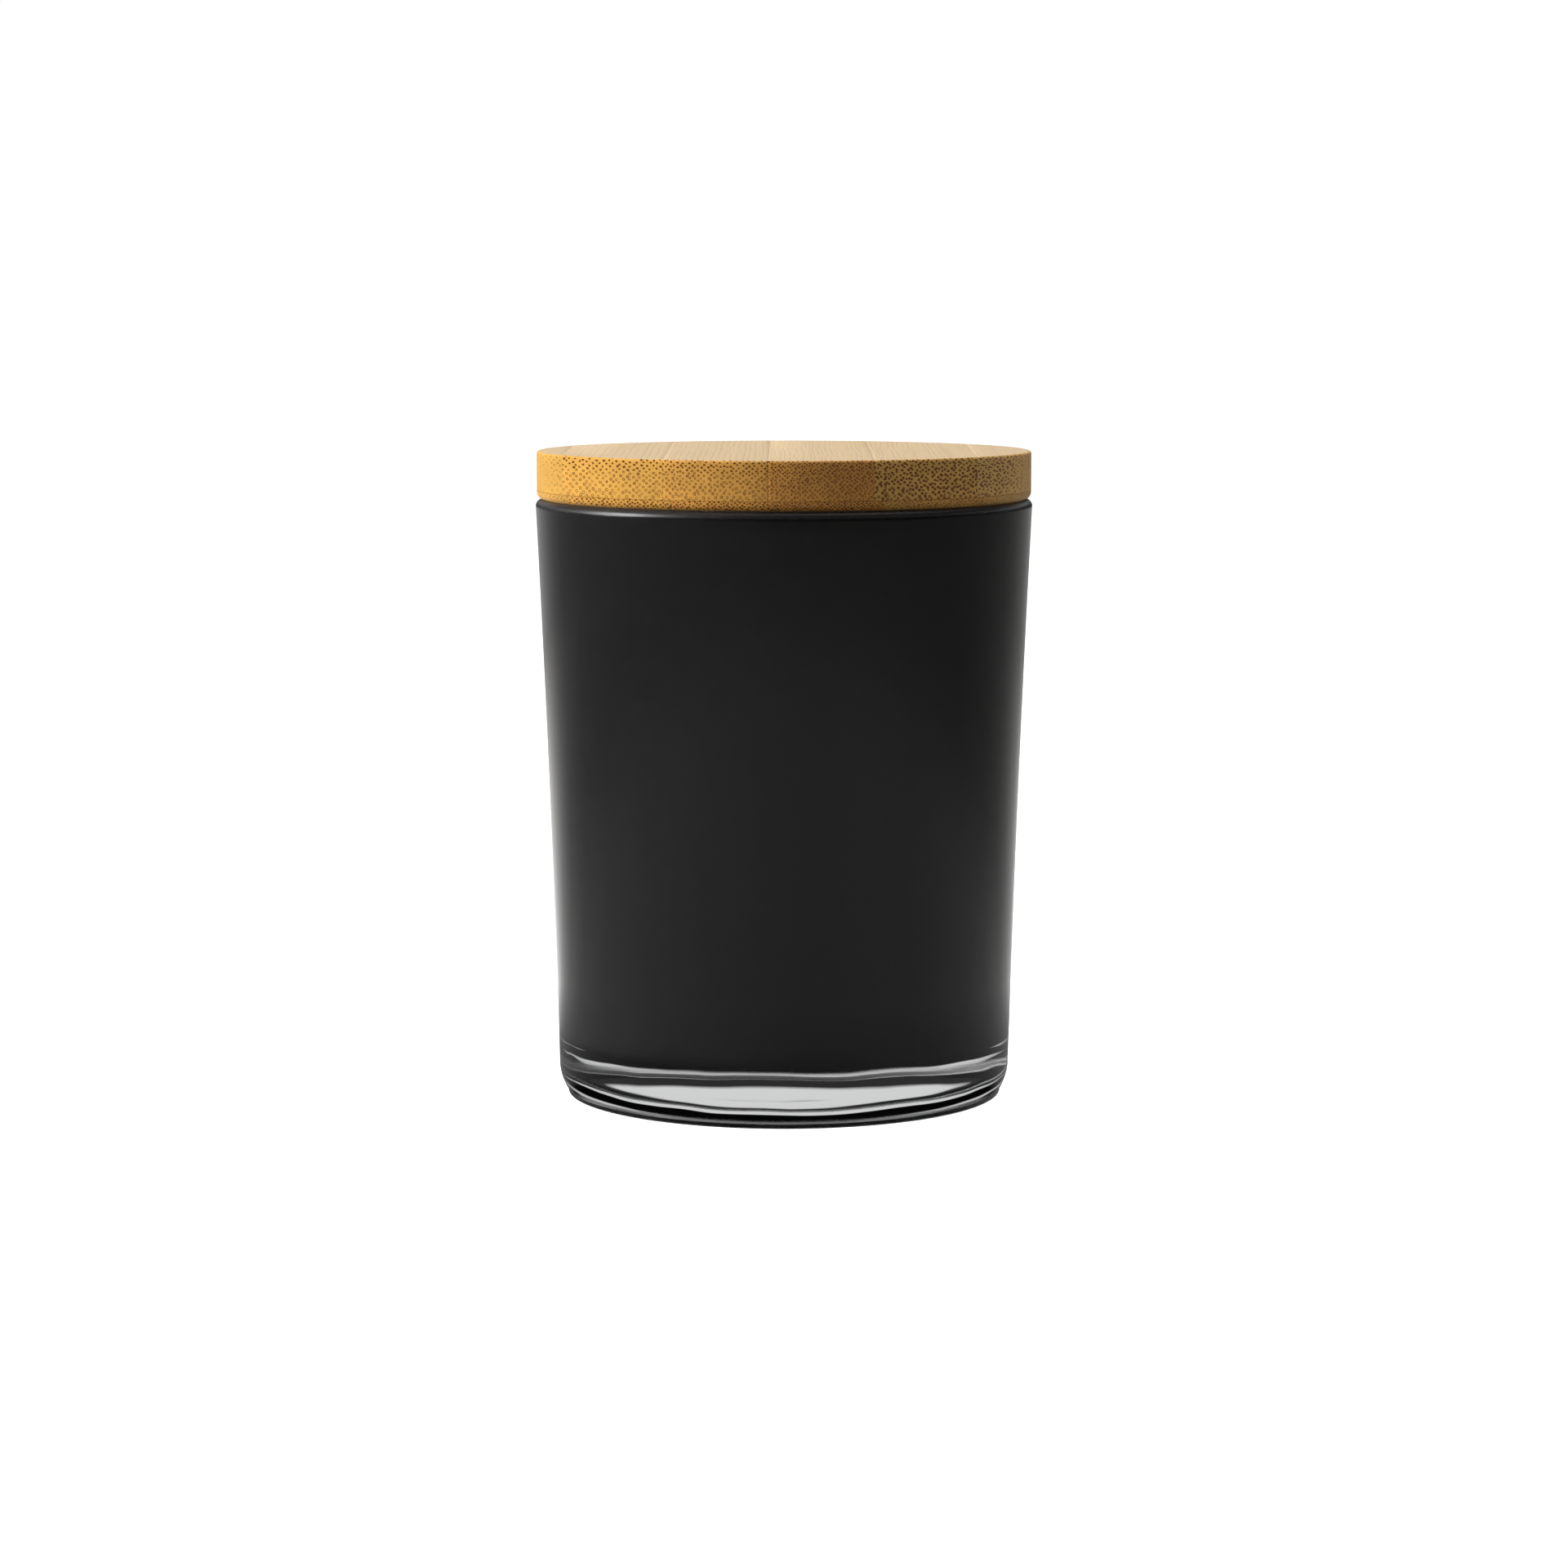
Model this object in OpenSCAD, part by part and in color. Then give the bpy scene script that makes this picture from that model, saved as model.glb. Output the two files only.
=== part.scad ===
// Candle tumbler with a bamboo lid.
// A clear pressed-glass tumbler is sprayed black on the inside only, so its thick base stays clear.
// The lid is turned from a board of two bamboo plies, each ply being narrow strips glued edge to
// edge, and its plug carries a lipped silicone ring that grips the mouth of the jar.
// Millimetres, +Z up, origin at the centre of the ring that the jar stands on.

/* [Glass tumbler] */
// Height of the glass from the table to the rim
jar_h = 97; // [85:1:115]
// Outside diameter of the glass just below its rounded rim
rim_d = 80.4; // [76:0.2:88]
// How much the outside radius grows from heel to rim, as a straight taper
taper = 2.4; // [1.5:0.1:3]
// Extra growth of the outside radius that curves the wall outwards near the rim
flare = 1; // [0:0.1:1.5]
// Thickness of the glass wall at the rim
rim_wall = 2.7; // [2.4:0.1:3]
// Thickness of the glass wall just above the floor
base_wall = 3.25; // [3:0.05:4]
// Thickness of the clear glass base under the floor
base_t = 8.8; // [7:0.1:11]
// Radius of the round between the floor and the wall, inside
floor_round = 3; // [2:0.5:5]
// Radius of the round on the rim's outer edge
rim_round = 1.1; // [0.8:0.1:1.3]
// Radius of the round on the rim's inner edge
mouth_round = 0.8; // [0.5:0.1:1]

/* [Foot of the glass] */
// Height at which the rounded heel runs into the wall
heel_z = 5; // [4.2:0.1:5.5]
// Radius of the rounded heel
heel_round = 7.5; // [6:0.1:8]
// How far the foot ring's upright side is set in from the end of the heel
foot_step = 0.1; // [0.1:0.05:0.5]
// Height of the foot ring's upright side
foot_h = 0.8; // [0.5:0.05:1.2]
// Width of the foot ring, from its upright side to the hollow under the base
foot_w = 4.9; // [3:0.1:7]
// Depth of the hollow under the base
hollow_h = 0.8; // [0.4:0.1:1.5]

/* [Black lining] */
// Thickness of the sprayed lining
coat_t = 0.15; // [0.1:0.05:0.3]
// Distance from the round on the rim's inner edge down to the lining's upper edge
coat_drop = 0.1; // [0.1:0.1:1.5]

/* [Bamboo lid] */
// How far the lid's edge stands in from the widest line of the rim
lid_inset = 0.2; // [0:0.1:0.6]
// Thickness of one bamboo ply
ply_t = 6.3; // [6:0.1:7]
// How much of the lower ply stays at full diameter, under the upper ply
lip_t = 1.5; // [1.3:0.1:1.7]
// Width of one bamboo strip
strip_w = 16.3; // [15.8:0.1:16.6]
// Distance from the centre to a seam of the upper ply
upper_seam = 13.9; // [13.5:0.1:14.4]
// Distance from the centre to a seam of the lower ply
lower_seam = 15.3; // [15:0.1:16]
// Radius of the round on the disc's lower edge
lid_round = 1.2; // [0.8:0.1:1.2]
// Radius of the round on the disc's upper edge
top_round = 0.4; // [0.3:0.1:0.8]
// Free space between the plug and the mouth of the jar
plug_gap = 1.9; // [1.6:0.1:2.2]

/* [Seal ring] */
// Height of the ring's band
seal_h = 2.5; // [2:0.1:2.5]
// Distance from the lid's underside down to the ring
seal_drop = 1.1; // [0.8:0.1:1.1]
// Depth of the groove in the plug
groove_depth = 1.2; // [1:0.1:1.3]
// Free space between the ring and the lining, and between the ring and its groove
seal_gap = 0.1; // [0.08:0.01:0.15]
// Thickness of one lip
lip_w = 0.45; // [0.35:0.05:0.5]

/* [Hidden] */
STRIPS = 6;
UPPER_NAMES = [for (i = [1:STRIPS]) str("upper_strip_", i)];
LOWER_NAMES = [for (i = [1:STRIPS]) str("plug_strip_", i)];
$fn = 180;

wall_steps = 12;
arc_steps = 8;
heel_r = rim_d / 2 - taper - flare;
wall_top = jar_h - rim_round;
coat_top = jar_h - mouth_round - coat_drop;
corner_top = base_t + floor_round;
heel_angle = asin((heel_z - foot_h) / heel_round);
foot_r = heel_r - heel_round * (1 - cos(heel_angle)) - foot_step;
foot_edge = 0.35;
hollow_r = foot_r - foot_w;
hollow_slope = 1;

ply_z = jar_h + lip_t;
lid_top = ply_z + ply_t;
plug_z = ply_z - ply_t;
lid_r = rim_d / 2 - lid_inset;
plug_chamfer = 0.5;
groove_r = mouth_r() - plug_gap - groove_depth;
seal_z = jar_h - seal_drop - seal_h;
seal_r = groove_r + seal_gap / 2;
band_t = 1;
lips = 3;

// Points along a round, from angle a0 to angle a1, in the plane of a turned profile.
function arc(cx, cz, r, a0, a1) =
    [for (i = [0:arc_steps]) let (a = a0 + (a1 - a0) * i / arc_steps) [cx + r * cos(a), cz + r * sin(a)]];

// Outside radius of the glass at height z: a straight taper plus a gentle flare.
function outer_r(z) = let (h = (z - heel_z) / (wall_top - heel_z)) heel_r + taper * h + flare * h * h;

// Inside radius of the glass: the wall thins evenly from the floor to the rim.
function inner_r(z) = outer_r(z) - base_wall + (base_wall - rim_wall) * (z - base_t) / (jar_h - base_t);

// Radius of the mouth, where the wall meets the round on the rim's inner edge.
function mouth_r() = inner_r(jar_h - mouth_round);

// Heights at which the inner wall is drawn, from the floor's round to the lining's upper edge.
function inner_heights() = [for (i = [0:wall_steps]) corner_top + (coat_top - corner_top) * i / wall_steps];

// The inner face of the glass, moved in by t: up from the axis, round the corner and up the wall.
function inner_face(t) = concat(
    [[0, base_t + t]],
    arc(inner_r(corner_top) - floor_round, corner_top, floor_round - t, -90, 0),
    [for (z = inner_heights()) if (z > corner_top) [inner_r(z) - t, z]]
);

function reversed(list) = [for (i = [len(list) - 1:-1:0]) list[i]];

module glass_tumbler() {
    color([0.86, 0.91, 0.9, 0.4]) rotate_extrude() polygon(concat(
        [[0, hollow_h], [hollow_r - hollow_slope, hollow_h], [hollow_r, 0]],
        arc(foot_r - foot_edge, foot_edge, foot_edge, -90, 0),
        [[foot_r, foot_h]],
        arc(heel_r - heel_round, heel_z, heel_round, -heel_angle, 0),
        [for (i = [1:wall_steps]) let (z = heel_z + (wall_top - heel_z) * i / wall_steps) [outer_r(z), z]],
        arc(rim_d / 2 - rim_round, wall_top, rim_round, 0, 90),
        arc(mouth_r() + mouth_round, jar_h - mouth_round, mouth_round, 90, 180),
        reversed(inner_face(0))
    ));
}

// The sprayed lining covers the floor and the inner wall, face to face with the glass.
module black_lining() {
    color([0.06, 0.06, 0.07]) rotate_extrude() polygon(concat(inner_face(0), reversed(inner_face(coat_t))));
}

// Keeps one strip's width of a ply; strips run along Y, and strip 5 starts at the ply's seam.
module strip(i, seam) {
    intersection() {
        children();
        translate([seam + (i - 5) * strip_w, -rim_d, plug_z - 1]) cube([strip_w, 2 * rim_d, 3 * ply_t]);
    }
}

module upper_strip(i) {
    color(i % 2 == 0 ? [0.84, 0.66, 0.4] : [0.8, 0.61, 0.36]) strip(i, upper_seam)
        rotate_extrude() polygon(concat(
            [[0, ply_z], [lid_r, ply_z]],
            arc(lid_r - top_round, lid_top - top_round, top_round, 0, 90),
            [[0, lid_top]]
        ));
}

// The lower ply is turned down to a plug, with a groove for the seal ring.
module plug_strip(i) {
    plug_r = mouth_r() - plug_gap;
    groove_bottom = seal_z - seal_gap / 2;
    groove_top = seal_z + seal_h + seal_gap / 2;
    color(i % 2 == 0 ? [0.78, 0.58, 0.33] : [0.74, 0.55, 0.31]) strip(i, lower_seam)
        rotate_extrude() polygon(concat(
            [
                [0, plug_z],
                [plug_r - plug_chamfer, plug_z],
                [plug_r, plug_z + plug_chamfer],
                [plug_r, groove_bottom],
                [groove_r, groove_bottom],
                [groove_r, groove_top],
                [plug_r, groove_top],
                [plug_r, jar_h]
            ],
            arc(lid_r - lid_round, jar_h + lid_round, lid_round, -90, 0),
            [[lid_r, ply_z], [0, ply_z]]
        ));
}

// A band with three tapered lips, drawn as they lie when the lid is seated.
module seal_ring() {
    tip_r = inner_r(seal_z) - coat_t - seal_gap;
    pitch = (seal_h - lip_w) / (lips - 1);
    color([0.93, 0.93, 0.91, 0.7]) rotate_extrude() union() {
        translate([seal_r, seal_z]) square([band_t, seal_h]);
        for (k = [0:lips - 1]) translate([0, seal_z + k * pitch]) polygon([
            [seal_r + band_t / 2, 0],
            [tip_r, lip_w * 0.3],
            [tip_r, lip_w * 0.7],
            [seal_r + band_t / 2, lip_w]
        ]);
    }
}

glass_tumbler();
black_lining();
for (i = [1:STRIPS]) {
    upper_strip(i);
    plug_strip(i);
}
seal_ring();
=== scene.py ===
import math

import bpy
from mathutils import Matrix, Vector


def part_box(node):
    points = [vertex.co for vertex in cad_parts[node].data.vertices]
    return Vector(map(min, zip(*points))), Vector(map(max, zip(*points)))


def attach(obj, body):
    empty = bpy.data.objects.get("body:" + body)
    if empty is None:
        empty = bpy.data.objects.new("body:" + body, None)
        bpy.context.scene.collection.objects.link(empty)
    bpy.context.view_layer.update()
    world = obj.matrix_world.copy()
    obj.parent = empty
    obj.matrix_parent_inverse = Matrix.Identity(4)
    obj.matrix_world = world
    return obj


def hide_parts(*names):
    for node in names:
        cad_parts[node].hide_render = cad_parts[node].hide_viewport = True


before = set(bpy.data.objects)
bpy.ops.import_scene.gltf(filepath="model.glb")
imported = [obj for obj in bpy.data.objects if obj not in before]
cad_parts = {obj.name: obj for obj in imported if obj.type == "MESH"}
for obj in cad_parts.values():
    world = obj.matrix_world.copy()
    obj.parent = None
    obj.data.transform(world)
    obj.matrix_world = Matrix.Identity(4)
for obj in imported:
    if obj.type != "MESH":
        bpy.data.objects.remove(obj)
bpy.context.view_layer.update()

# Camera: a lens of about 100 mm on a stand, a little above the lid and aimed slightly down, as small
# glassware is shown for sale.
camera_data = bpy.data.cameras.new("camera")
camera_data.sensor_width = 36
camera_data.lens = 102.06
camera = bpy.data.objects.new("camera", camera_data)
bpy.context.collection.objects.link(camera)
camera.location = (0, -0.7211, 0.1347)
camera.rotation_euler = (math.radians(90 - 6.67), 0, 0)
bpy.context.scene.camera = camera
bpy.context.scene.view_settings.view_transform = "Standard"

# Table: the view shows a plain sheet of white board, lit from below so that it stays white. From
# underneath it isn't there, so that the foot of the jar can be seen. The jar itself sees only a dark
# glossy sheet in its place, with a painted glow behind the jar where the lit backdrop comes down to it.


def put(tree, kind, fill=None, **options):
    """Adds a node, sets its options, and fills its inputs with numbers or with other nodes' outputs."""
    made = tree.nodes.new(kind)
    for name, value in options.items():
        setattr(made, name, value)
    for key, value in (fill or {}).items():
        if isinstance(value, bpy.types.NodeSocket):
            tree.links.new(value, made.inputs[key])
        else:
            made.inputs[key].default_value = value
    return made


def new_material(name):
    """A material, its node tree and its own Principled shader."""
    made = bpy.data.materials.new(name)
    made.use_nodes = True
    return made, made.node_tree, made.node_tree.nodes["Principled BSDF"]


def maths(tree, operation, *values, clamp=False):
    """The output of a Math node, from numbers or other nodes' outputs."""
    made = put(tree, "ShaderNodeMath", dict(enumerate(values)), operation=operation, use_clamp=clamp)
    return made.outputs[0]


def ramped(tree, value, from_min, from_max, to_min=0.0, to_max=1.0, kind="LINEAR"):
    """The output of a Map Range node."""
    ends = {"Value": value, "From Min": from_min, "From Max": from_max, "To Min": to_min, "To Max": to_max}
    return put(tree, "ShaderNodeMapRange", ends, interpolation_type=kind).outputs[0]


table_r = 3
board_z = -0.00005
sheet_z = -0.0001
bpy.ops.object.select_all(action="DESELECT")
bpy.ops.mesh.primitive_circle_add(vertices=96, radius=table_r, fill_type="NGON", location=(0, 0, board_z))
table = bpy.context.object
table.name = "table"
table.visible_diffuse = False
table.visible_glossy = False
table.visible_transmission = False
board, tree, paper = new_material("white_board")
paper.inputs["Base Color"].default_value = (0.9, 0.9, 0.9, 1)
paper.inputs["Roughness"].default_value = 0.6
paper.inputs["Emission Color"].default_value = (1, 1, 1, 1)
paper.inputs["Emission Strength"].default_value = 0.88
below = put(tree, "ShaderNodeNewGeometry")
nothing = put(tree, "ShaderNodeBsdfTransparent")
either = put(tree, "ShaderNodeMixShader", {0: below.outputs["Backfacing"]})
tree.links.new(paper.outputs["BSDF"], either.inputs[1])
tree.links.new(nothing.outputs["BSDF"], either.inputs[2])
tree.links.new(either.outputs["Shader"], tree.nodes["Material Output"].inputs["Surface"])
table.data.materials.append(board)
bpy.ops.mesh.primitive_circle_add(vertices=96, radius=table_r, fill_type="NGON", location=(0, 0, sheet_z))
sheet = bpy.context.object
sheet.name = "dark_sheet"
sheet.visible_camera = False
sheet.visible_shadow = False
acrylic, tree, gloss = new_material("lit_acrylic")
gloss.inputs["Base Color"].default_value = (0.004, 0.004, 0.004, 1)
gloss.inputs["Roughness"].default_value = 0.08
gloss.inputs["Emission Color"].default_value = (1, 0.99, 0.97, 1)
# The sheet's glow is painted light, by bearing and by distance in metres: a painted reflection of the lit
# backdrop, strong towards it, weaker to the right, away from the key softbox, and farther off, and none
# within 6 cm of the jar's axis, rising to full by 12 cm.
spot = put(tree, "ShaderNodeTexCoord").outputs["Object"]
away = put(tree, "ShaderNodeVectorMath", {0: spot}, operation="LENGTH").outputs["Value"]
bearing = put(tree, "ShaderNodeVectorMath", {0: spot}, operation="NORMALIZE").outputs["Vector"]
towards = put(tree, "ShaderNodeSeparateXYZ", {"Vector": bearing}).outputs
backdrop = put(tree, "ShaderNodeValToRGB", {"Fac": towards["Y"]})
backdrop.color_ramp.elements[1].position = 0.92
backdrop.color_ramp.elements[1].color = (1.2, 1.2, 1.2, 1)
for towards_back, level in ((0.33, 0.08), (0.57, 0.28), (0.7, 0.56), (0.8, 0.9)):
    backdrop.color_ramp.elements.new(towards_back).color = (level, level, level, 1)
falls = ramped(tree, away, 0.15, 0.75, 1, 0.3)
weaker = ramped(tree, towards["X"], -0.5, 0.5, 1, 0.42)
all_round = ramped(tree, towards["X"], -0.5, 0.5, 0.075, 0.135)
# No painted glow within 6 cm of the jar's axis, rising to full by 12 cm.
glow_clear_of_jar = ramped(tree, away, 0.06, 0.12)
glow = maths(tree, "MULTIPLY", falls, weaker)
glow = maths(tree, "MULTIPLY_ADD", glow, backdrop.outputs["Color"], all_round)
glow = maths(tree, "MULTIPLY", glow, glow_clear_of_jar)
tree.links.new(glow, gloss.inputs["Emission Strength"])
sheet.data.materials.append(acrylic)

# Light: a low white panel runs round a dark room with a pale ceiling. One softbox stands on the left and
# a broad one hangs over the table. Dull surfaces also get an even, slightly warm fill.


def blended(tree, factor, first, second, blend="MIX"):
    """The output of a colour Mix node."""
    ends = {"Factor": factor, "A": first, "B": second}
    return put(tree, "ShaderNodeMix", ends, data_type="RGBA", blend_type=blend).outputs["Result"]


room = bpy.data.worlds.new("dark_room")
bpy.context.scene.world = room
room.use_nodes = True
tree = room.node_tree
facing = put(tree, "ShaderNodeTexCoord").outputs["Generated"]
split = put(tree, "ShaderNodeSeparateXYZ", {"Vector": facing}).outputs
panel = put(tree, "ShaderNodeValToRGB", {"Fac": ramped(tree, split["Z"], -1, 1)})
black = (0.001, 0.001, 0.001, 1)
dark = (0.02, 0.02, 0.02, 1)
bright = (0.68, 0.68, 0.68, 1)
ceiling = (0.42, 0.42, 0.42, 1)
# Tones by their angle above the table, in degrees.
edges = [(9.2, black), (10.4, bright), (17.3, bright), (20.5, dark), (36, dark), (55, ceiling)]
panel.color_ramp.elements.remove(panel.color_ramp.elements[1])
panel.color_ramp.elements[0].color = black
for angle, tone in edges:
    panel.color_ramp.elements.new(0.5 + math.sin(math.radians(angle)) / 2).color = tone
# The front of the room is a little darker than the back.
front_share = ramped(tree, split["Y"], -0.4, 0, 0.8)
fill = (0.28, 0.243, 0.228, 1)
panel_tone = blended(tree, front_share, (0, 0, 0, 1), panel.outputs["Color"])
seen = put(tree, "ShaderNodeLightPath").outputs
filled = blended(tree, seen["Is Diffuse Ray"], panel_tone, fill)
shown = blended(tree, seen["Is Camera Ray"], filled, (1, 1, 1, 1))
tree.links.new(shown, tree.nodes["Background"].inputs["Color"])
jar_middle = Vector((0, 0, 0.05))


def soft_light(name, place, size, power):
    """A square softbox aimed at the middle of the jar, which gloss doesn't mirror."""
    lamp = bpy.data.lights.new(name, "AREA")
    lamp.size = size
    lamp.energy = power
    box = bpy.data.objects.new(name, lamp)
    bpy.context.collection.objects.link(box)
    box.location = place
    box.rotation_euler = (jar_middle - Vector(place)).to_track_quat("-Z", "Y").to_euler()
    box.visible_glossy = False
    box.visible_camera = False


soft_light("key", (-1.0, -0.18, 0.35), 0.45, 12)
soft_light("top", (0, 0.3, 1.2), 1.2, 8.6)

# Tumbler: soda-lime glass pressed in a mould, which leaves slight waves in the thick clear base. It
# stands on a narrow ground ring round a shallow hollow. Its rim and the foot's upright side are satin.
_, glass_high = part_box("glass_tumbler")
jar_h = glass_high.z
rim_r = glass_high.x
taper = 0.0024
flare = 0.001
base_wall = 0.00325
wall_thins = 0.00055
heel_r = rim_r - taper - flare
rim_round = 0.0011
mouth_round = 0.0008
heel_z = 0.005
heel_round = 0.0075
foot_step = 0.0001
foot_h = 0.0008
foot_edge = 0.00035
foot_w = 0.0049
hollow_h = 0.0008
hollow_slope = 0.001
base_t = 0.0088
floor_round = 0.003
wall_top = jar_h - rim_round


def arc(centre_r, centre_z, radius, start, end, steps):
    """Points (r, z) along a round, from one angle in degrees to another."""
    turns = [math.radians(start + (end - start) * i / steps) for i in range(steps + 1)]
    return [(centre_r + radius * math.cos(a), centre_z + radius * math.sin(a)) for a in turns]


def outer_r(z):
    """Outside radius of the glass: a straight taper and a gentle flare."""
    rise = (z - heel_z) / (wall_top - heel_z)
    return heel_r + taper * rise + flare * rise * rise


def inner_r(z):
    """Inside radius of the glass: the wall thins evenly from the floor to the rim."""
    return outer_r(z) - base_wall + wall_thins * (z - base_t) / (jar_h - base_t)


def evenly(start, end, steps):
    """Evenly spaced numbers, both ends included."""
    return [start + (end - start) * i / steps for i in range(steps + 1)]


def turned(name, outline, steps):
    """Spins an outline of (r, z) points: the first corner is placed, and the others are extruded from it."""
    bpy.ops.object.select_all(action="DESELECT")
    bpy.ops.mesh.primitive_plane_add(size=0.01)
    piece = bpy.context.object
    piece.name = name
    bpy.ops.object.mode_set(mode="EDIT")
    bpy.ops.mesh.merge(type="CENTER")
    bpy.ops.transform.translate(value=(outline[0][0], 0, outline[0][1]))
    for (r0, z0), (r1, z1) in zip(outline, outline[1:]):
        bpy.ops.mesh.extrude_region_move(TRANSFORM_OT_translate={"value": (r1 - r0, 0, z1 - z0)})
    bpy.ops.mesh.select_all(action="SELECT")
    bpy.ops.mesh.spin(steps=steps, angle=2 * math.pi, center=(0, 0, 0), axis=(0, 0, 1))
    bpy.ops.mesh.select_all(action="SELECT")
    bpy.ops.mesh.remove_doubles(threshold=0.000002)
    bpy.ops.mesh.normals_make_consistent(inside=False)
    bpy.ops.object.mode_set(mode="OBJECT")
    return piece


heel_angle = math.degrees(math.asin((heel_z - foot_h) / heel_round))
foot_r = heel_r - heel_round * (1 - math.cos(math.radians(heel_angle))) - foot_step
hollow_r = foot_r - foot_w
mouth_r = inner_r(jar_h - mouth_round)
corner_z = base_t + floor_round
corner_r = inner_r(corner_z)
first_ring = 0.002
crease = math.radians(35)
outside = (
    [(0, hollow_h)]
    + [(r, hollow_h) for r in evenly(first_ring, hollow_r - hollow_slope, 16)]
    + [(hollow_r, 0)]
    + arc(foot_r - foot_edge, foot_edge, foot_edge, -90, 0, 6)
    + [(foot_r, foot_h)]
    + arc(heel_r - heel_round, heel_z, heel_round, -heel_angle, 0, 16)
    + [(outer_r(z), z) for z in evenly(heel_z, wall_top, 40)[1:]]
    + arc(rim_r - rim_round, wall_top, rim_round, 0, 90, 8)[1:]
)
inside = (
    arc(mouth_r + mouth_round, jar_h - mouth_round, mouth_round, 90, 180, 8)
    + [(inner_r(z), z) for z in evenly(jar_h - mouth_round, corner_z, 40)[1:]]
    + arc(corner_r - floor_round, corner_z, floor_round, 0, -90, 16)[1:]
    + [(r, base_t) for r in evenly(corner_r - floor_round, 0, 10)[1:]]
)
tumbler = turned("tumbler", outside + inside, 256)
wavy = tumbler.vertex_groups.new(name="pressed_base")
wave_skin = 0.0015
full_waves_z = 0.008
waves_fade = 0.006
calm_foot_z = 0.0025
calm_share = 0.3
for v in tumbler.data.vertices:
    r = math.hypot(v.co.x, v.co.y)
    in_heel = v.co.z > foot_h and r > max(corner_r, outer_r(v.co.z) - wave_skin)
    in_hollow = abs(v.co.z - hollow_h) < 0.00001 and r < hollow_r - 2 * hollow_slope
    upwards = max(0, 1 - max(0, v.co.z - full_waves_z) / waves_fade)
    at_foot = min(1, max(calm_share, v.co.z / calm_foot_z))
    if in_heel or in_hollow:
        wavy.add([v.index], upwards * at_foot, "REPLACE")
swirl = bpy.data.textures.new("mould_waves", "CLOUDS")
swirl.noise_scale = 0.012
swirl.noise_depth = 1
waves = tumbler.modifiers.new("waves", "DISPLACE")
waves.texture = swirl
waves.vertex_group = "pressed_base"
waves.texture_coords = "LOCAL"
waves.strength = 0.00022
bpy.ops.object.modifier_apply(modifier="waves")
bpy.ops.object.shade_smooth_by_angle(angle=crease)
clear, tree, glass = new_material("clear_glass")
glass.inputs["Base Color"].default_value = (0.985, 0.995, 0.99, 1)
glass.inputs["IOR"].default_value = 1.52
glass.inputs["Transmission Weight"].default_value = 1
place = put(tree, "ShaderNodeTexCoord").outputs["Object"]
height = put(tree, "ShaderNodeSeparateXYZ", {"Vector": place}).outputs["Z"]
flat = put(tree, "ShaderNodeVectorMath", {0: place, 1: (1, 1, 0)}, operation="MULTIPLY").outputs["Vector"]
from_axis = put(tree, "ShaderNodeVectorMath", {0: flat}, operation="LENGTH").outputs["Value"]
handled = put(tree, "ShaderNodeTexNoise", {"Vector": place, "Scale": 60, "Detail": 3}).outputs["Fac"]
# Roughness: the ground foot, the smudges of handling, and the satin of the foot's side and the rim.
ground_zone = (0.00005, 0.0003)
side_zone = (foot_r - 0.0006, foot_r - 0.0002)
foot_zone = (0.0011, 0.0018)
rim_zone = (wall_top - 0.0003, wall_top + 0.0001)
ground_foot = ramped(tree, height, *ground_zone, 0.08, 0)
smudge = ramped(tree, handled, 0.5, 0.8, 0, 0.05)
outer_side = ramped(tree, from_axis, *side_zone, 0, 0.28)
near_table = ramped(tree, height, *foot_zone, 1, 0)
satin_foot = maths(tree, "MULTIPLY", outer_side, near_table)
satin_rim = ramped(tree, height, *rim_zone, 0, 0.36)
dulled = maths(tree, "ADD", ground_foot, smudge)
dulled = maths(tree, "ADD", dulled, satin_foot)
dulled = maths(tree, "ADD", dulled, satin_rim)
tree.links.new(dulled, glass.inputs["Roughness"])
ripple = put(tree, "ShaderNodeTexNoise", {"Vector": place, "Scale": 220, "Detail": 1}).outputs["Fac"]
skin_bump = put(tree, "ShaderNodeBump", {"Height": ripple, "Distance": 0.00002, "Strength": 0.3})
tree.links.new(skin_bump.outputs["Normal"], glass.inputs["Normal"])
lamp_rays = put(tree, "ShaderNodeLightPath")
pass_light = put(tree, "ShaderNodeBsdfTransparent")
either = put(tree, "ShaderNodeMixShader", {0: lamp_rays.outputs["Is Shadow Ray"]})
tree.links.new(glass.outputs["BSDF"], either.inputs[1])
tree.links.new(pass_light.outputs["BSDF"], either.inputs[2])
tree.links.new(either.outputs["Shader"], tree.nodes["Material Output"].inputs["Surface"])
tumbler.data.materials.append(clear)
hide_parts("glass_tumbler")
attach(tumbler, "jar")

# Lining: black lacquer sprayed on the inside of the finished glass, from the floor up to the mouth.
# Where it is bonded to the glass it is dull and deep; towards the inside of the jar it is glossy.
bond = 0.00003
lacquer_t = 0.00012
coat_drop = 0.0001
coat_top = jar_h - mouth_round - coat_drop
bonded_side = (
    [(0, base_t - bond)]
    + [(r, base_t - bond) for r in evenly(0, corner_r - floor_round, 10)[1:]]
    + arc(corner_r - floor_round, corner_z, floor_round + bond, -90, 0, 16)[1:]
    + [(inner_r(z) + bond, z) for z in evenly(corner_z, coat_top, 40)[1:]]
)
air_side = (
    [(inner_r(z) - lacquer_t, z) for z in evenly(coat_top, corner_z, 40)]
    + arc(corner_r - floor_round, corner_z, floor_round - lacquer_t, 0, -90, 16)[1:]
    + [(r, base_t + lacquer_t) for r in evenly(corner_r - floor_round, 0, 10)[1:]]
)
lining = turned("lining", bonded_side + air_side, 256)
bpy.ops.object.shade_smooth_by_angle(angle=crease)
bonded, tree, dull = new_material("lacquer_behind_glass")
dull.inputs["Specular IOR Level"].default_value = 0
dull.inputs["Roughness"].default_value = 1
place = put(tree, "ShaderNodeTexCoord").outputs["Object"]
spray = put(tree, "ShaderNodeTexNoise", {"Vector": place, "Scale": 45, "Detail": 4})
depth = put(tree, "ShaderNodeValToRGB", {"Fac": spray.outputs["Fac"]})
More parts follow.
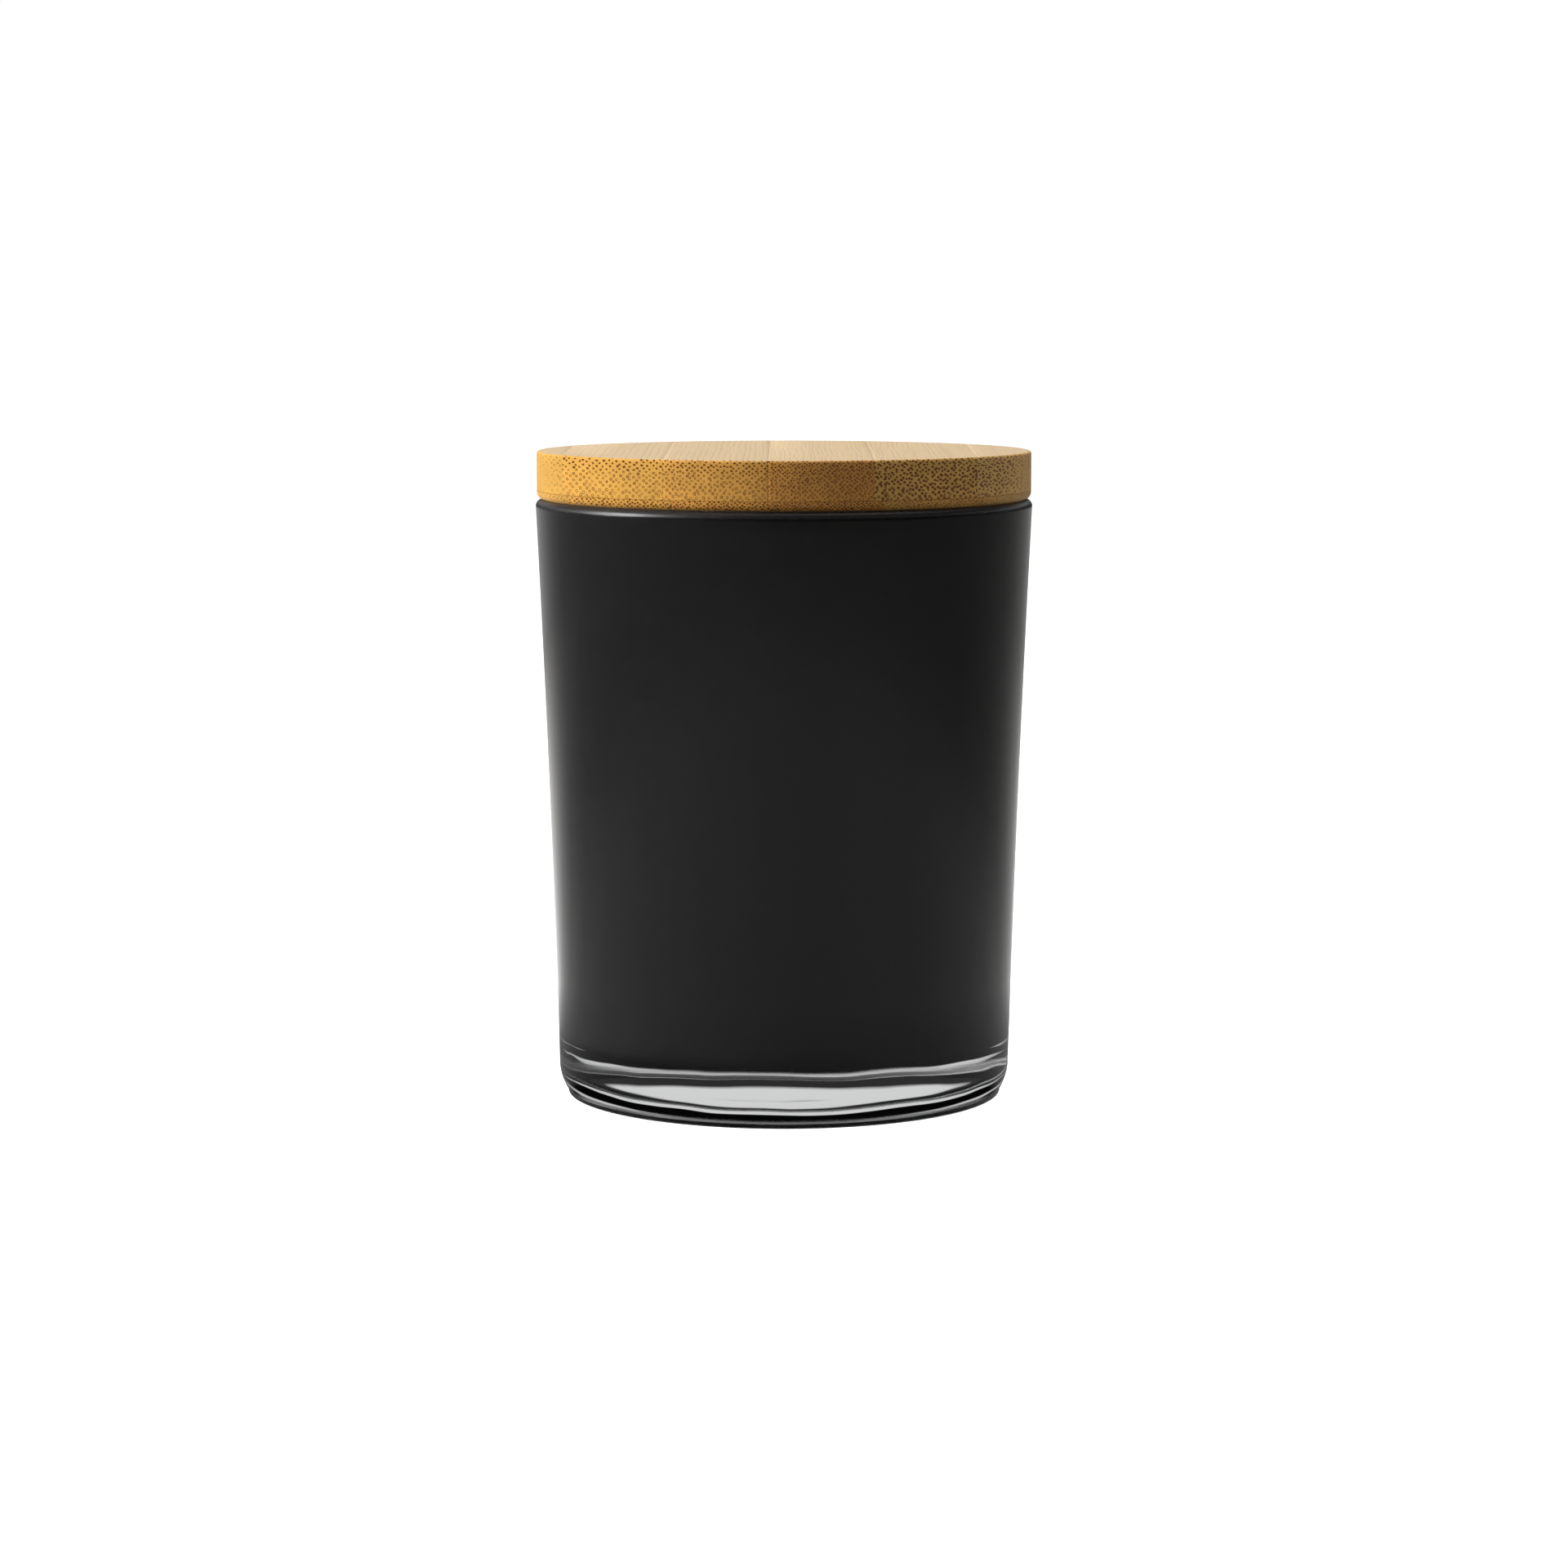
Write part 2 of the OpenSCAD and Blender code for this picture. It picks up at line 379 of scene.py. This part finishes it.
depth.color_ramp.elements[0].color = (0.0105, 0.0098, 0.0107, 1)
depth.color_ramp.elements[1].color = (0.014, 0.0132, 0.0142, 1)
tree.links.new(depth.outputs["Color"], dull.inputs["Base Color"])
inner_lacquer, tree, shiny = new_material("lacquer_inside")
shiny.inputs["Coat Weight"].default_value = 0.5
place = put(tree, "ShaderNodeTexCoord").outputs["Object"]
peel = put(tree, "ShaderNodeTexNoise", {"Vector": place, "Scale": 900, "Detail": 2})
mist = put(tree, "ShaderNodeTexNoise", {"Vector": place, "Scale": 60, "Detail": 5})
depth = put(tree, "ShaderNodeValToRGB", {"Fac": mist.outputs["Fac"]})
depth.color_ramp.elements[0].color = (0.009, 0.0085, 0.009, 1)
depth.color_ramp.elements[1].color = (0.018, 0.017, 0.018, 1)
tree.links.new(depth.outputs["Color"], shiny.inputs["Base Color"])
haze = ramped(tree, mist.outputs["Fac"], 0, 1, 0.18, 0.42)
tree.links.new(haze, shiny.inputs["Roughness"])
orange_peel = put(
    tree, "ShaderNodeBump", {"Height": peel.outputs["Fac"], "Distance": 0.00003, "Strength": 0.25}
)
tree.links.new(orange_peel.outputs["Normal"], shiny.inputs["Normal"])
lining.data.materials.append(bonded)
lining.data.materials.append(inner_lacquer)
inward = -0.0001
upward = 0.3
for face in lining.data.polygons:
    faces_axis = face.normal.x * face.center.x + face.normal.y * face.center.y < inward
    faces_up = face.normal.z > upward
    face.material_index = 1 if faces_axis or faces_up else 0
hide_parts("black_lining")
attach(lining, "jar")

# Seal: one ring of clear silicone, moulded with a flat band that sits in the plug's groove and three
# thin lips that reach out towards the glass.
seal_low, seal_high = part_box("seal_ring")
lip_tip_r = seal_high.x
plug_gap = 0.0019
groove_depth = 0.0012
ring_slack = 0.00005
band_t = 0.001
band_in = mouth_r - plug_gap - groove_depth + ring_slack
band_out = band_in + band_t
band_edge = 0.00012
lips = 3
lip_w = 0.00045
lip_pitch = (seal_high.z - seal_low.z - lip_w) / (lips - 1)
lip_nose = 0.00009
lip_root = 0.0001
root_ease = 0.00002
lip_neck = 0.00015
neck_ease = 0.00005
seal_outline = [(band_in + band_edge, seal_low.z)]
for k in range(lips):
    lip_z = seal_low.z + k * lip_pitch
    seal_outline += [
        (band_out - lip_root, lip_z + root_ease),
        (band_out + lip_neck, lip_z + neck_ease),
        *arc(lip_tip_r - lip_nose, lip_z + lip_w / 2, lip_nose, -90, 90, 6),
        (band_out + lip_neck, lip_z + lip_w - neck_ease),
        (band_out - lip_root, lip_z + lip_w - root_ease),
    ]
seal_outline += arc(band_in + band_edge, seal_high.z - band_edge, band_edge, 90, 180, 4)
seal_outline += arc(band_in + band_edge, seal_low.z + band_edge, band_edge, 180, 270, 4)
ring = turned("seal_lips", seal_outline, 192)
bpy.ops.object.shade_smooth_by_angle(angle=math.radians(50))
silicone, tree, rubber = new_material("clear_silicone")
rubber.inputs["Subsurface Weight"].default_value = 0.45
rubber.inputs["Subsurface Radius"].default_value = (0.002, 0.002, 0.0018)
rubber.inputs["Subsurface Scale"].default_value = 1
rubber.inputs["IOR"].default_value = 1.41
place = put(tree, "ShaderNodeTexCoord").outputs["Object"]
bloom = put(tree, "ShaderNodeTexNoise", {"Vector": place, "Scale": 260, "Detail": 4})
milk = put(tree, "ShaderNodeValToRGB", {"Fac": bloom.outputs["Fac"]})
milk.color_ramp.elements[0].color = (0.70, 0.70, 0.665, 1)
milk.color_ramp.elements[1].color = (0.83, 0.83, 0.80, 1)
tree.links.new(milk.outputs["Color"], rubber.inputs["Base Color"])
satin = ramped(tree, bloom.outputs["Fac"], 0, 1, 0.28, 0.5)
tree.links.new(satin, rubber.inputs["Roughness"])
ring.data.materials.append(silicone)
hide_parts("seal_ring")
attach(ring, "seal")

# Upper ply of the lid: six strips of bamboo glued edge to edge, then turned to a disc. The fibres run
# along Y, so their bundles show as small rings on the cut edge and as faint lines on the flat top.
top_low, top_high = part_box("upper_strip_3")
lid_inset = 0.0002
lid_r = rim_r - lid_inset
ply_z = top_low.z
lid_top = top_high.z
ply_t = lid_top - ply_z
top_round = 0.0004
glue_edge = 0.00006
flat_margin = 0.0006
strip_w = 0.0163
seam_strip = 5
upper_seam = 0.0139
seam_edge = 0.00002
MM = 1000

# The bamboo effect, in millimetres. Bundles lie in a staggered lattice across X and Z, drawn along Y.
# Near the top of a ply, which was the outside of the cane, they are close, solid and dark.
bamboo = bpy.data.node_groups.new("bamboo", "ShaderNodeTree")
for name, kind in (
    ("Ground", "NodeSocketColor"),
    ("Face", "NodeSocketColor"),
    ("Fibre", "NodeSocketColor"),
    ("Spacing", "NodeSocketFloat"),
    ("Bundle", "NodeSocketFloat"),
    ("Ring", "NodeSocketFloat"),
    ("Contrast", "NodeSocketFloat"),
    ("Disorder", "NodeSocketFloat"),
    ("Seed", "NodeSocketFloat"),
    ("Ply Top", "NodeSocketFloat"),
    ("Ply Depth", "NodeSocketFloat"),
    ("Glue Height", "NodeSocketFloat"),
    ("Seam Left", "NodeSocketFloat"),
    ("Seam Right", "NodeSocketFloat"),
):
    bamboo.interface.new_socket(name, in_out="INPUT", socket_type=kind)
for name, kind in (
    ("Color", "NodeSocketColor"),
    ("Roughness", "NodeSocketFloat"),
    ("Height", "NodeSocketFloat"),
):
    bamboo.interface.new_socket(name, in_out="OUTPUT", socket_type=kind)
given = put(bamboo, "NodeGroupInput").outputs
place = put(bamboo, "ShaderNodeTexCoord").outputs
scaled = put(bamboo, "ShaderNodeVectorMath", {0: place["Object"], "Scale": MM}, operation="SCALE").outputs[0]
at = put(bamboo, "ShaderNodeSeparateXYZ", {"Vector": scaled}).outputs
across = put(bamboo, "ShaderNodeSeparateXYZ", {"Vector": place["Normal"]}).outputs
seeded = put(bamboo, "ShaderNodeCombineXYZ", {"X": given["Seed"], "Y": given["Seed"]}).outputs[0]


def eased(value, *ends):
    """A value of the bamboo effect mapped from one range to another, eased at both ends."""
    return ramped(bamboo, value, *ends, kind="SMOOTHSTEP")


def product(*values):
    """The product of several values of the bamboo effect."""
    result = values[0]
    for value in values[1:]:
        result = maths(bamboo, "MULTIPLY", result, value)
    return result


def distance_to(value, line):
    """How far a coordinate is from a line, either way."""
    return maths(bamboo, "ABSOLUTE", maths(bamboo, "SUBTRACT", value, line))


def grain_noise(stretch, detail):
    """A noise that is fine across the strip and long along its fibres."""
    pulled = put(bamboo, "ShaderNodeVectorMath", {0: scaled, 1: stretch}, operation="MULTIPLY").outputs[0]
    moved = put(bamboo, "ShaderNodeVectorMath", {0: pulled, 1: seeded}, operation="ADD").outputs[0]
    return put(bamboo, "ShaderNodeTexNoise", {"Vector": moved, "Scale": 1, "Detail": detail}).outputs


# Where a point lies in the cane: across the strip, and down from its dense outside.
wander = put(bamboo, "ShaderNodeSeparateXYZ", {"Vector": grain_noise((0.12, 0.03, 0.12), 1)["Color"]}).outputs
x_here = maths(bamboo, "ADD", at["X"], product(wander["X"], 0.9))
z_here = maths(bamboo, "ADD", at["Z"], product(wander["Y"], 0.9))
down = maths(bamboo, "SUBTRACT", given["Ply Top"], z_here)
depth = maths(bamboo, "DIVIDE", down, given["Ply Depth"], clamp=True)

# The staggered lattice of bundles, turned by 45 degrees.
turn = 0.7071
u = maths(bamboo, "ADD", maths(bamboo, "DIVIDE", x_here, given["Spacing"]), given["Seed"])
crowding = ramped(bamboo, depth, 0, 1, 1.25, 1.06)
w = product(maths(bamboo, "DIVIDE", down, given["Spacing"]), crowding)
lattice_x = product(maths(bamboo, "ADD", u, w), turn)
lattice_y = product(maths(bamboo, "SUBTRACT", u, w), turn)
lattice = put(bamboo, "ShaderNodeCombineXYZ", {"X": lattice_x, "Y": lattice_y}).outputs[0]
cells = {"Vector": lattice, "Scale": 1, "Randomness": given["Disorder"]}
bundles = put(bamboo, "ShaderNodeTexVoronoi", cells, voronoi_dimensions="2D").outputs
each = put(bamboo, "ShaderNodeSeparateColor", {"Color": bundles["Color"]}).outputs

# One bundle: its ragged edge, its girth, and the hollow in the middle of the looser ones.
ragged = product(maths(bamboo, "SUBTRACT", grain_noise((5, 0.1, 5), 1)["Fac"], 0.5), 0.22)
reach = product(maths(bamboo, "ADD", bundles["Distance"], ragged), given["Spacing"])
girth = product(given["Bundle"], ramped(bamboo, each["Red"], 0, 1, 0.86, 1.14))
grown = product(girth, ramped(bamboo, depth, 0, 1, 0.88, 1.15))
ratio = maths(bamboo, "DIVIDE", reach, grown)
solid = eased(ratio, 1.3, 0.75)
core = eased(ratio, 0.62, 0.25)
hollowed = product(given["Ring"], eased(depth, 0.12, 0.35))
mark = product(solid, maths(bamboo, "SUBTRACT", 1, product(core, hollowed)))

# How strongly the bundles are stained: fully on cut ends, and hardly along the fibres.
end_grain = eased(maths(bamboo, "ABSOLUTE", across["Y"]), 0.12, 0.6)
fading = ramped(bamboo, depth, 0, 1, 1.15, 0.6)
uneven = ramped(bamboo, each["Green"], 0, 1, 0.75, 1.1)
stain = product(mark, given["Contrast"], fading, uneven)
visible = maths(bamboo, "MULTIPLY", stain, ramped(bamboo, end_grain, 0, 1, 0.06, 1), clamp=True)

# Shading of the wood between the bundles, with its thin seams and the glue line between the plies.
tone = ramped(bamboo, grain_noise((0.35, 0.02, 0.35), 3)["Fac"], 0.3, 0.7, 0.9, 1.08)
pores = ramped(bamboo, grain_noise((7, 0.25, 7), 2)["Fac"], 0.3, 0.7, 0.86, 1.1)
halo = eased(ratio, 1.2, 2.0, 1.07, 1.0)
from_left = distance_to(at["X"], given["Seam Left"])
from_right = distance_to(at["X"], given["Seam Right"])
seam = eased(maths(bamboo, "MINIMUM", from_left, from_right), 0.02, 0.1, 0.93, 1)
glue = eased(distance_to(at["Z"], given["Glue Height"]), 0.03, 0.18, 0.78, 1)
shade = product(tone, pores, halo, seam, glue)

# The flat faces, top and bottom, get a paler colour, which is a painted sheen, and calmer grain than
# the turned edge.
flat_face_sheen_and_calm = eased(maths(bamboo, "ABSOLUTE", across["Z"]), 0.92, 0.99)
wood = blended(bamboo, visible, blended(bamboo, flat_face_sheen_and_calm, given["Ground"], given["Face"]), given["Fibre"])
calm = maths(bamboo, "SUBTRACT", 1, product(flat_face_sheen_and_calm, 0.78))
shade = maths(bamboo, "ADD", 1, product(maths(bamboo, "SUBTRACT", shade, 1), calm))
shades = put(bamboo, "ShaderNodeCombineXYZ", {"X": shade, "Y": shade, "Z": shade}).outputs[0]
answer = put(bamboo, "NodeGroupOutput")
bamboo.links.new(blended(bamboo, 1.0, wood, shades, "MULTIPLY"), answer.inputs["Color"])
bamboo.links.new(maths(bamboo, "ADD", 0.4, product(pores, 0.1)), answer.inputs["Roughness"])
bamboo.links.new(maths(bamboo, "SUBTRACT", pores, product(mark, 0.5)), answer.inputs["Height"])


def bamboo_material(name, looks, ply_top, left):
    """One strip's material: its own tone and bundles, between its left seam and its right one."""
    made, tree, wood = new_material(name)
    ground, fibre, spacing, bundle, ring_share, contrast, disorder, seed = looks
    grain = put(tree, "ShaderNodeGroup", node_tree=bamboo)
    fills = (
        (*ground, 1), face_colour_with_painted_sheen, (*fibre, 1), spacing, bundle, ring_share, contrast, disorder, seed,
        ply_top * MM, ply_t * MM, ply_z * MM, left * MM, (left + strip_w) * MM,
    )
    for socket, value in zip(grain.inputs, fills):
        socket.default_value = value
    tree.links.new(grain.outputs["Color"], wood.inputs["Base Color"])
    tree.links.new(grain.outputs["Roughness"], wood.inputs["Roughness"])
    pits = put(
        tree, "ShaderNodeBump", {"Height": grain.outputs["Height"], "Distance": 0.00006, "Strength": 0.5}
    )
    tree.links.new(pits.outputs["Normal"], wood.inputs["Normal"])
    return made


def cut_strip(board, name, left):
    """Copies a turned board and saws away all but one strip, leaving its glued edges barely eased."""
    bpy.ops.object.select_all(action="DESELECT")
    board.select_set(True)
    bpy.context.view_layer.objects.active = board
    bpy.ops.object.duplicate()
    piece = bpy.context.object
    piece.name = name
    bpy.ops.object.mode_set(mode="EDIT")
    for x, away in ((left, -1), (left + strip_w, 1)):
        if abs(x) < lid_r:
            bpy.ops.mesh.select_all(action="SELECT")
            bpy.ops.mesh.bisect(
                plane_co=(x, 0, 0), plane_no=(away, 0, 0), use_fill=True, clear_outer=True, threshold=0.000001
            )
            bpy.ops.mesh.bevel(offset=seam_edge, segments=2, affect="EDGES")
    bpy.ops.mesh.select_all(action="SELECT")
    bpy.ops.mesh.normals_make_consistent(inside=False)
    bpy.ops.object.mode_set(mode="OBJECT")
    bpy.ops.object.shade_smooth_by_angle(angle=crease)
    return piece


def turned_board(name, outline):
    """A turned disc whose two flat faces are each closed by one face."""
    board = turned(name, outline, 256)
    bpy.ops.object.mode_set(mode="EDIT")
    bpy.ops.mesh.select_all(action="DESELECT")
    bpy.ops.mesh.select_non_manifold(
        extend=False,
        use_boundary=True,
        use_wire=False,
        use_multi_face=False,
        use_non_contiguous=False,
        use_verts=False,
    )
    bpy.ops.mesh.edge_face_add()
    bpy.ops.mesh.select_all(action="SELECT")
    bpy.ops.mesh.normals_make_consistent(inside=False)
    bpy.ops.object.mode_set(mode="OBJECT")
    return board


upper_outline = (
    [(lid_r - top_round - flat_margin, lid_top)]
    + arc(lid_r - top_round, lid_top - top_round, top_round, 90, 0, 8)
    + [(lid_r, z) for z in evenly(lid_top - top_round, ply_z + glue_edge, 6)[1:]]
    + [(lid_r - glue_edge, ply_z), (lid_r - glue_edge - flat_margin, ply_z)]
)
upper_board = turned_board("upper_board", upper_outline)
dark_fibre = (0.175, 0.058, 0.008)
# Colour of the flat faces: the wood paled by a painted sheen.
face_colour_with_painted_sheen = (0.84, 0.645, 0.39, 1)
# Ground colour, fibre colour, spacing, bundle radius, ring share, contrast, disorder, seed.
upper_looks = [
    ((0.81, 0.45, 0.095), dark_fibre, 0.78, 0.20, 0.8, 0.80, 0.42, 3.1),
    ((0.83, 0.445, 0.091), dark_fibre, 0.76, 0.215, 1.0, 1.05, 0.38, 11.4),
    ((0.85, 0.44, 0.094), dark_fibre, 0.68, 0.195, 0.8, 1.1, 0.44, 23.7),
    ((0.78, 0.378, 0.077), dark_fibre, 0.53, 0.16, 0.3, 1.0, 0.55, 37.2),
    ((0.88, 0.53, 0.132), (0.22, 0.085, 0.012), 0.62, 0.205, 0.0, 1.3, 0.6, 41.9),
    ((0.91, 0.575, 0.185), (0.23, 0.095, 0.015), 0.58, 0.18, 0.0, 1.2, 0.7, 59.5),
]
for i, looks in enumerate(upper_looks, 1):
    left = upper_seam + (i - seam_strip) * strip_w
    board_strip = cut_strip(upper_board, f"lid_top_strip_{i}", left)
    board_strip.data.materials.append(bamboo_material(f"bamboo_top_{i}", looks, lid_top, left))
    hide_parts(f"upper_strip_{i}")
    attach(board_strip, "lid")
bpy.data.objects.remove(upper_board)

# Lower ply: six more strips, laid with their seams to one side of the upper ones and turned in one
# piece to a rim, a plug and the groove for the seal. Its cut edge shows only the cane's dense outside.
plug_low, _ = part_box("plug_strip_3")
plug_z = plug_low.z
lower_seam = 0.0153
lid_round = 0.0012
plug_r = mouth_r - plug_gap
groove_r = plug_r - groove_depth
plug_chamfer = 0.0005
plug_root = 0.0002
groove_bottom = seal_low.z - ring_slack
groove_top = seal_high.z + ring_slack
groove_edge = 0.0001
lower_outline = (
    [(lid_r - glue_edge - flat_margin, ply_z), (lid_r - glue_edge, ply_z), (lid_r, ply_z - glue_edge)]
    + arc(lid_r - lid_round, jar_h + lid_round, lid_round, 0, -90, 10)
    + [(plug_r + flat_margin, jar_h), (plug_r + plug_root, jar_h), (plug_r, jar_h - plug_root)]
    + [(plug_r, groove_top + groove_edge), (plug_r - groove_edge, groove_top), (groove_r, groove_top)]
    + [(groove_r, groove_bottom), (plug_r - groove_edge, groove_bottom)]
    + [(plug_r, groove_bottom - groove_edge), (plug_r, plug_z + plug_chamfer)]
    + [(plug_r - plug_chamfer, plug_z), (plug_r - plug_chamfer - flat_margin, plug_z)]
)
lower_board = turned_board("lower_board", lower_outline)
lower_looks = [
    ((0.79, 0.43, 0.090), dark_fibre, 0.52, 0.16, 0.3, 0.85, 0.5, 67.1),
    ((0.79, 0.41, 0.085), dark_fibre, 0.58, 0.19, 0.3, 1.05, 0.45, 71.3),
    ((0.79, 0.39, 0.082), dark_fibre, 0.55, 0.18, 0.2, 1.05, 0.5, 83.6),
    ((0.78, 0.37, 0.078), dark_fibre, 0.47, 0.155, 0.2, 1.0, 0.5, 97.8),
    ((0.80, 0.44, 0.100), (0.22, 0.09, 0.02), 0.50, 0.15, 0.0, 0.9, 0.6, 103.4),
    ((0.82, 0.48, 0.130), (0.28, 0.13, 0.035), 0.52, 0.145, 0.0, 0.7, 0.6, 113.9),
]
for i, looks in enumerate(lower_looks, 1):
    left = lower_seam + (i - seam_strip) * strip_w
    plug_strip = cut_strip(lower_board, f"lid_plug_strip_{i}", left)
    plug_strip.data.materials.append(bamboo_material(f"bamboo_plug_{i}", looks, ply_z, left))
    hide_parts(f"plug_strip_{i}")
    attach(plug_strip, "lid")
bpy.data.objects.remove(lower_board)
